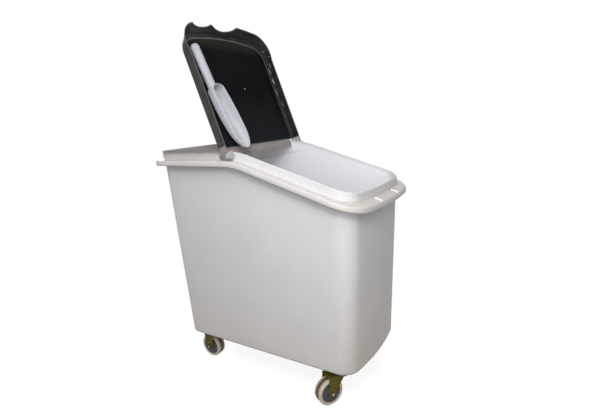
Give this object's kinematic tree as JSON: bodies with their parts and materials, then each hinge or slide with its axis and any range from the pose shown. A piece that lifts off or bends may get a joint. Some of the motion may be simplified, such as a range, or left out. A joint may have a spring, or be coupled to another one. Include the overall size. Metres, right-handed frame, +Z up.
{
  "type": "mobile ingredient bin",
  "caption": "Slant-front mobile ingredient bin: tapered tub with rolled rim, fixed rear cover, hinged front lid holding a scoop, swivel casters in front and rigid ones behind.",
  "frame": {"origin": "on the floor under the middle of the bin", "axes": "+Z up, +Y from the low sloped front to the high rear, +X to the right seen from the front"},
  "size_m": [0.408, 0.74, 1.117],
  "materials": {
    "tub_plastic": "satin white polyethylene",
    "clear_plastic": "clear polished plastic",
    "smoke_plastic": "smoke-tinted polished plastic",
    "scoop_plastic": "satin white plastic",
    "zinc": "yellow zinc-plated pressed steel",
    "steel": "bright zinc-plated steel",
    "tread": "beige rubber",
    "hub_plastic": "dark grey moulded plastic"
  },
  "bodies": {
    "bin": {"bin_tub": "tub_plastic", "rear_cover": "clear_plastic", "front_left_top_plate": "zinc", "front_left_ball_race": "zinc", "front_left_kingpin": "steel", "front_left_screw_1": "steel", "front_left_screw_2": "steel", "front_left_screw_3": "steel", "front_left_screw_4": "steel", "front_right_top_plate": "zinc", "front_right_ball_race": "zinc", "front_right_kingpin": "steel", "front_right_screw_1": "steel", "front_right_screw_2": "steel", "front_right_screw_3": "steel", "front_right_screw_4": "steel", "rear_left_bracket": "zinc", "rear_left_bushing": "steel", "rear_left_axle_bolt": "steel", "rear_left_axle_nut": "steel", "rear_left_screw_1": "steel", "rear_left_screw_2": "steel", "rear_left_screw_3": "steel", "rear_left_screw_4": "steel", "rear_right_bracket": "zinc", "rear_right_bushing": "steel", "rear_right_axle_bolt": "steel", "rear_right_axle_nut": "steel", "rear_right_screw_1": "steel", "rear_right_screw_2": "steel", "rear_right_screw_3": "steel", "rear_right_screw_4": "steel"},
    "lid": {"front_lid": "smoke_plastic", "hinge_pin_left": "clear_plastic", "hinge_pin_right": "clear_plastic", "scoop_cradle": "clear_plastic"},
    "scoop": {"scoop": "scoop_plastic"},
    "front_left_swivel": {"front_left_fork": "zinc", "front_left_bushing": "steel", "front_left_axle_bolt": "steel", "front_left_axle_nut": "steel"},
    "front_left_wheel": {"front_left_tyre": "tread", "front_left_hub": "hub_plastic"},
    "front_right_swivel": {"front_right_fork": "zinc", "front_right_bushing": "steel", "front_right_axle_bolt": "steel", "front_right_axle_nut": "steel"},
    "front_right_wheel": {"front_right_tyre": "tread", "front_right_hub": "hub_plastic"},
    "rear_left_wheel": {"rear_left_tyre": "tread", "rear_left_hub": "hub_plastic"},
    "rear_right_wheel": {"rear_right_tyre": "tread", "rear_right_hub": "hub_plastic"}
  },
  "joints": [
    {"name": "lid_hinge", "type": "hinge", "parent": "bin", "child": "lid", "pos_m": [0, 0.038, 0.726], "axis": [1, 0, 0], "range_deg": [0, 126.63]},
    {"name": "scoop_lift", "type": "slide", "parent": "lid", "child": "scoop", "axis": [0, -0.943, 0.3327], "range_m": [0, 0.06]},
    {"name": "front_left_swivel_turn", "type": "hinge", "parent": "bin", "child": "front_left_swivel", "pos_m": [-0.125, -0.238, 0.09], "axis": [0, 0, 1], "continuous": true},
    {"name": "front_left_wheel_spin", "type": "hinge", "parent": "front_left_swivel", "child": "front_left_wheel", "pos_m": [-0.15124, -0.22346, 0.04], "axis": [0.4848, 0.8746, 0], "continuous": true},
    {"name": "front_right_swivel_turn", "type": "hinge", "parent": "bin", "child": "front_right_swivel", "pos_m": [0.125, -0.238, 0.09], "axis": [0, 0, 1], "continuous": true},
    {"name": "front_right_wheel_spin", "type": "hinge", "parent": "front_right_swivel", "child": "front_right_wheel", "pos_m": [0.1128, -0.21059, 0.04], "axis": [0.9135, 0.4067, 0], "continuous": true},
    {"name": "rear_left_wheel_spin", "type": "hinge", "parent": "bin", "child": "rear_left_wheel", "pos_m": [-0.112, 0.27, 0.04], "axis": [1, 0, 0], "continuous": true},
    {"name": "rear_right_wheel_spin", "type": "hinge", "parent": "bin", "child": "rear_right_wheel", "pos_m": [0.112, 0.27, 0.04], "axis": [1, 0, 0], "continuous": true}
  ]
}
